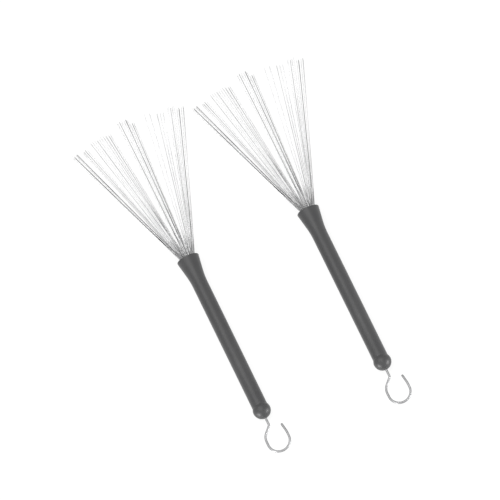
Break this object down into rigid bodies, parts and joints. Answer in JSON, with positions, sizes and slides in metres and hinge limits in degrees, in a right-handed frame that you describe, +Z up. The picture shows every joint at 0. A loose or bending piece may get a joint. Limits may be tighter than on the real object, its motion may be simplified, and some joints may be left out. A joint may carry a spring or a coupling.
{
  "type": "wire drum brushes",
  "caption": "Retractable wire drum brushes with flared rubber grips, spread fans of fine steel wires, and sliding pull rods bent into open hanging loops.",
  "frame": {"origin": "on the floor under the middle of the pair's box, with both brushes lying flat, wires out", "axes": "+Y along the brushes towards the wire tips, +X from the left brush to the right one, +Z up"},
  "size_m": [0.2118, 0.3322, 0.0201],
  "materials": {
    "grip_rubber": "satin moulded rubber",
    "tube_aluminium": "drawn and flared",
    "plug_nylon": "turned nylon",
    "ring_rubber": "moulded ring",
    "ferrule_nickel": "nickel plated, turned",
    "potting_resin": "cast resin",
    "rod_steel": "bright plated steel rod",
    "wire_steel": "hard drawn spring wire"
  },
  "bodies": {
    "left_handle": {"left_grip": "grip_rubber", "left_handle_tube": "tube_aluminium", "left_end_plug": "plug_nylon"},
    "left_slider": {"left_friction_ring": "ring_rubber"},
    "left_plunger": {"left_ferrule": "ferrule_nickel", "left_wire_potting": "potting_resin", "left_pull_rod": "rod_steel"},
    "left_tuft_01": {"left_wire_tuft_01": "wire_steel"},
    "left_tuft_02": {"left_wire_tuft_02": "wire_steel"},
    "left_tuft_03": {"left_wire_tuft_03": "wire_steel"},
    "left_tuft_04": {"left_wire_tuft_04": "wire_steel"},
    "left_tuft_05": {"left_wire_tuft_05": "wire_steel"},
    "left_tuft_06": {"left_wire_tuft_06": "wire_steel"},
    "left_tuft_07": {"left_wire_tuft_07": "wire_steel"},
    "left_tuft_08": {"left_wire_tuft_08": "wire_steel"},
    "left_tuft_09": {"left_wire_tuft_09": "wire_steel"},
    "left_tuft_10": {"left_wire_tuft_10": "wire_steel"},
    "left_tuft_11": {"left_wire_tuft_11": "wire_steel"},
    "left_tuft_12": {"left_wire_tuft_12": "wire_steel"},
    "right_handle": {"right_grip": "grip_rubber", "right_handle_tube": "tube_aluminium", "right_end_plug": "plug_nylon"},
    "right_slider": {"right_friction_ring": "ring_rubber"},
    "right_plunger": {"right_ferrule": "ferrule_nickel", "right_wire_potting": "potting_resin", "right_pull_rod": "rod_steel"},
    "right_tuft_01": {"right_wire_tuft_01": "wire_steel"},
    "right_tuft_02": {"right_wire_tuft_02": "wire_steel"},
    "right_tuft_03": {"right_wire_tuft_03": "wire_steel"},
    "right_tuft_04": {"right_wire_tuft_04": "wire_steel"},
    "right_tuft_05": {"right_wire_tuft_05": "wire_steel"},
    "right_tuft_06": {"right_wire_tuft_06": "wire_steel"},
    "right_tuft_07": {"right_wire_tuft_07": "wire_steel"},
    "right_tuft_08": {"right_wire_tuft_08": "wire_steel"},
    "right_tuft_09": {"right_wire_tuft_09": "wire_steel"},
    "right_tuft_10": {"right_wire_tuft_10": "wire_steel"},
    "right_tuft_11": {"right_wire_tuft_11": "wire_steel"},
    "right_tuft_12": {"right_wire_tuft_12": "wire_steel"}
  },
  "joints": [
    {"name": "left_plunger_slide", "type": "slide", "parent": "left_handle", "child": "left_slider", "axis": [0, 0.9999, 0.0144], "range_m": [-0.121, 0.004], "deforming": ["left_wire_tuft_01", "left_wire_tuft_02", "left_wire_tuft_03", "left_wire_tuft_04", "left_wire_tuft_05", "left_wire_tuft_06", "left_wire_tuft_07", "left_wire_tuft_08", "left_wire_tuft_09", "left_wire_tuft_10", "left_wire_tuft_11", "left_wire_tuft_12"]},
    {"name": "left_rod_spin", "type": "hinge", "parent": "left_slider", "child": "left_plunger", "pos_m": [-0.05571, 0.00836, 0.00941], "axis": [0, 0.9999, 0.0144], "continuous": true},
    {"name": "left_tuft_01_fold", "type": "hinge", "parent": "left_plunger", "child": "left_tuft_01", "pos_m": [-0.05646, 0.01843, 0.01098], "axis": [-0.0652, 0.0144, -0.9978], "range_deg": [-0.72, 18.84]},
    {"name": "left_tuft_02_fold", "type": "hinge", "parent": "left_plunger", "child": "left_tuft_02", "pos_m": [-0.05646, 0.01848, 0.00813], "axis": [0.0823, 0.0144, -0.9965], "range_deg": [-0.59, 14.85]},
    {"name": "left_tuft_03_fold", "type": "hinge", "parent": "left_plunger", "child": "left_tuft_03", "pos_m": [-0.05646, 0.01845, 0.01003], "axis": [-0.0376, 0.0144, -0.9992], "range_deg": [-0.45, 10.81]},
    {"name": "left_tuft_04_fold", "type": "hinge", "parent": "left_plunger", "child": "left_tuft_04", "pos_m": [-0.05646, 0.01846, 0.00908], "axis": [0.0534, 0.0144, -0.9985], "range_deg": [-0.35, 7.61]},
    {"name": "left_tuft_05_fold", "type": "hinge", "parent": "left_plunger", "child": "left_tuft_05", "pos_m": [-0.05646, 0.01849, 0.00718], "axis": [0.3479, 0.0135, -0.9374], "range_deg": [-0.29, 5.86]},
    {"name": "left_tuft_06_fold", "type": "hinge", "parent": "left_plunger", "child": "left_tuft_06", "pos_m": [-0.05646, 0.01842, 0.01193], "axis": [-0.9988, 0.0007, -0.0499], "range_deg": [-0.17, 2.1]},
    {"name": "left_tuft_07_fold", "type": "hinge", "parent": "left_plunger", "child": "left_tuft_07", "pos_m": [-0.05496, 0.01842, 0.01193], "axis": [-0.8386, -0.0079, 0.5447], "range_deg": [-0.18, 2.48]},
    {"name": "left_tuft_08_fold", "type": "hinge", "parent": "left_plunger", "child": "left_tuft_08", "pos_m": [-0.05496, 0.01849, 0.00718], "axis": [0.5815, -0.0118, 0.8134], "range_deg": [-0.21, 3.54]},
    {"name": "left_tuft_09_fold", "type": "hinge", "parent": "left_plunger", "child": "left_tuft_09", "pos_m": [-0.05496, 0.01845, 0.01003], "axis": [-0.0472, -0.0144, 0.9988], "range_deg": [-0.38, 8.61]},
    {"name": "left_tuft_10_fold", "type": "hinge", "parent": "left_plunger", "child": "left_tuft_10", "pos_m": [-0.05496, 0.01848, 0.00813], "axis": [0.0956, -0.0144, 0.9953], "range_deg": [-0.52, 12.76]},
    {"name": "left_tuft_11_fold", "type": "hinge", "parent": "left_plunger", "child": "left_tuft_11", "pos_m": [-0.05496, 0.01843, 0.01098], "axis": [-0.0723, -0.0144, 0.9973], "range_deg": [-0.66, 16.94]},
    {"name": "left_tuft_12_fold", "type": "hinge", "parent": "left_plunger", "child": "left_tuft_12", "pos_m": [-0.05496, 0.01846, 0.00908], "axis": [0.0208, -0.0144, 0.9997], "range_deg": [-0.75, 19.7]},
    {"name": "right_brush_aside", "type": "slide", "parent": "left_handle", "child": "right_handle", "axis": [1, 0, 0], "range_m": [0, 0.15]},
    {"name": "right_plunger_slide", "type": "slide", "parent": "right_handle", "child": "right_slider", "axis": [0, 0.9999, 0.0144], "range_m": [-0.121, 0.004], "deforming": ["right_wire_tuft_01", "right_wire_tuft_02", "right_wire_tuft_03", "right_wire_tuft_04", "right_wire_tuft_05", "right_wire_tuft_06", "right_wire_tuft_07", "right_wire_tuft_08", "right_wire_tuft_09", "right_wire_tuft_10", "right_wire_tuft_11", "right_wire_tuft_12"]},
    {"name": "right_rod_spin", "type": "hinge", "parent": "right_slider", "child": "right_plunger", "pos_m": [0.05259, -0.00004, 0.00941], "axis": [0, 0.9999, 0.0144], "continuous": true},
    {"name": "right_tuft_01_fold", "type": "hinge", "parent": "right_plunger", "child": "right_tuft_01", "pos_m": [0.05184, 0.01003, 0.01098], "axis": [-0.0652, 0.0144, -0.9978], "range_deg": [-0.72, 18.84]},
    {"name": "right_tuft_02_fold", "type": "hinge", "parent": "right_plunger", "child": "right_tuft_02", "pos_m": [0.05184, 0.01008, 0.00813], "axis": [0.0823, 0.0144, -0.9965], "range_deg": [-0.59, 14.85]},
    {"name": "right_tuft_03_fold", "type": "hinge", "parent": "right_plunger", "child": "right_tuft_03", "pos_m": [0.05184, 0.01005, 0.01003], "axis": [-0.0376, 0.0144, -0.9992], "range_deg": [-0.45, 10.81]},
    {"name": "right_tuft_04_fold", "type": "hinge", "parent": "right_plunger", "child": "right_tuft_04", "pos_m": [0.05184, 0.01006, 0.00908], "axis": [0.0534, 0.0144, -0.9985], "range_deg": [-0.35, 7.61]},
    {"name": "right_tuft_05_fold", "type": "hinge", "parent": "right_plunger", "child": "right_tuft_05", "pos_m": [0.05184, 0.01009, 0.00718], "axis": [0.3479, 0.0135, -0.9374], "range_deg": [-0.29, 5.86]},
    {"name": "right_tuft_06_fold", "type": "hinge", "parent": "right_plunger", "child": "right_tuft_06", "pos_m": [0.05184, 0.01002, 0.01193], "axis": [-0.9988, 0.0007, -0.0499], "range_deg": [-0.17, 2.1]},
    {"name": "right_tuft_07_fold", "type": "hinge", "parent": "right_plunger", "child": "right_tuft_07", "pos_m": [0.05334, 0.01002, 0.01193], "axis": [-0.8386, -0.0079, 0.5447], "range_deg": [-0.18, 2.48]},
    {"name": "right_tuft_08_fold", "type": "hinge", "parent": "right_plunger", "child": "right_tuft_08", "pos_m": [0.05334, 0.01009, 0.00718], "axis": [0.5815, -0.0118, 0.8134], "range_deg": [-0.21, 3.54]},
    {"name": "right_tuft_09_fold", "type": "hinge", "parent": "right_plunger", "child": "right_tuft_09", "pos_m": [0.05334, 0.01005, 0.01003], "axis": [-0.0472, -0.0144, 0.9988], "range_deg": [-0.38, 8.61]},
    {"name": "right_tuft_10_fold", "type": "hinge", "parent": "right_plunger", "child": "right_tuft_10", "pos_m": [0.05334, 0.01008, 0.00813], "axis": [0.0956, -0.0144, 0.9953], "range_deg": [-0.52, 12.76]},
    {"name": "right_tuft_11_fold", "type": "hinge", "parent": "right_plunger", "child": "right_tuft_11", "pos_m": [0.05334, 0.01003, 0.01098], "axis": [-0.0723, -0.0144, 0.9973], "range_deg": [-0.66, 16.94]},
    {"name": "right_tuft_12_fold", "type": "hinge", "parent": "right_plunger", "child": "right_tuft_12", "pos_m": [0.05334, 0.01006, 0.00908], "axis": [0.0208, -0.0144, 0.9997], "range_deg": [-0.75, 19.7]}
  ],
  "couplings": [
    {"joint": "left_tuft_01_fold", "follows": "left_plunger_slide", "rad_per_m": -2.7027},
    {"joint": "left_tuft_02_fold", "follows": "left_plunger_slide", "rad_per_m": -2.1273},
    {"joint": "left_tuft_03_fold", "follows": "left_plunger_slide", "rad_per_m": -1.5445},
    {"joint": "left_tuft_04_fold", "follows": "left_plunger_slide", "rad_per_m": -1.0833},
    {"joint": "left_tuft_05_fold", "follows": "left_plunger_slide", "rad_per_m": -0.83047},
    {"joint": "left_tuft_06_fold", "follows": "left_plunger_slide", "rad_per_m": -0.28884},
    {"joint": "left_tuft_07_fold", "follows": "left_plunger_slide", "rad_per_m": -0.34405},
    {"joint": "left_tuft_08_fold", "follows": "left_plunger_slide", "rad_per_m": -0.49626},
    {"joint": "left_tuft_09_fold", "follows": "left_plunger_slide", "rad_per_m": -1.2274},
    {"joint": "left_tuft_10_fold", "follows": "left_plunger_slide", "rad_per_m": -1.8255},
    {"joint": "left_tuft_11_fold", "follows": "left_plunger_slide", "rad_per_m": -2.4293},
    {"joint": "left_tuft_12_fold", "follows": "left_plunger_slide", "rad_per_m": -2.8277},
    {"joint": "right_tuft_01_fold", "follows": "right_plunger_slide", "rad_per_m": -2.7027},
    {"joint": "right_tuft_02_fold", "follows": "right_plunger_slide", "rad_per_m": -2.1273},
    {"joint": "right_tuft_03_fold", "follows": "right_plunger_slide", "rad_per_m": -1.5445},
    {"joint": "right_tuft_04_fold", "follows": "right_plunger_slide", "rad_per_m": -1.0833},
    {"joint": "right_tuft_05_fold", "follows": "right_plunger_slide", "rad_per_m": -0.83047},
    {"joint": "right_tuft_06_fold", "follows": "right_plunger_slide", "rad_per_m": -0.28884},
    {"joint": "right_tuft_07_fold", "follows": "right_plunger_slide", "rad_per_m": -0.34405},
    {"joint": "right_tuft_08_fold", "follows": "right_plunger_slide", "rad_per_m": -0.49626},
    {"joint": "right_tuft_09_fold", "follows": "right_plunger_slide", "rad_per_m": -1.2274},
    {"joint": "right_tuft_10_fold", "follows": "right_plunger_slide", "rad_per_m": -1.8255},
    {"joint": "right_tuft_11_fold", "follows": "right_plunger_slide", "rad_per_m": -2.4293},
    {"joint": "right_tuft_12_fold", "follows": "right_plunger_slide", "rad_per_m": -2.8277}
  ]
}
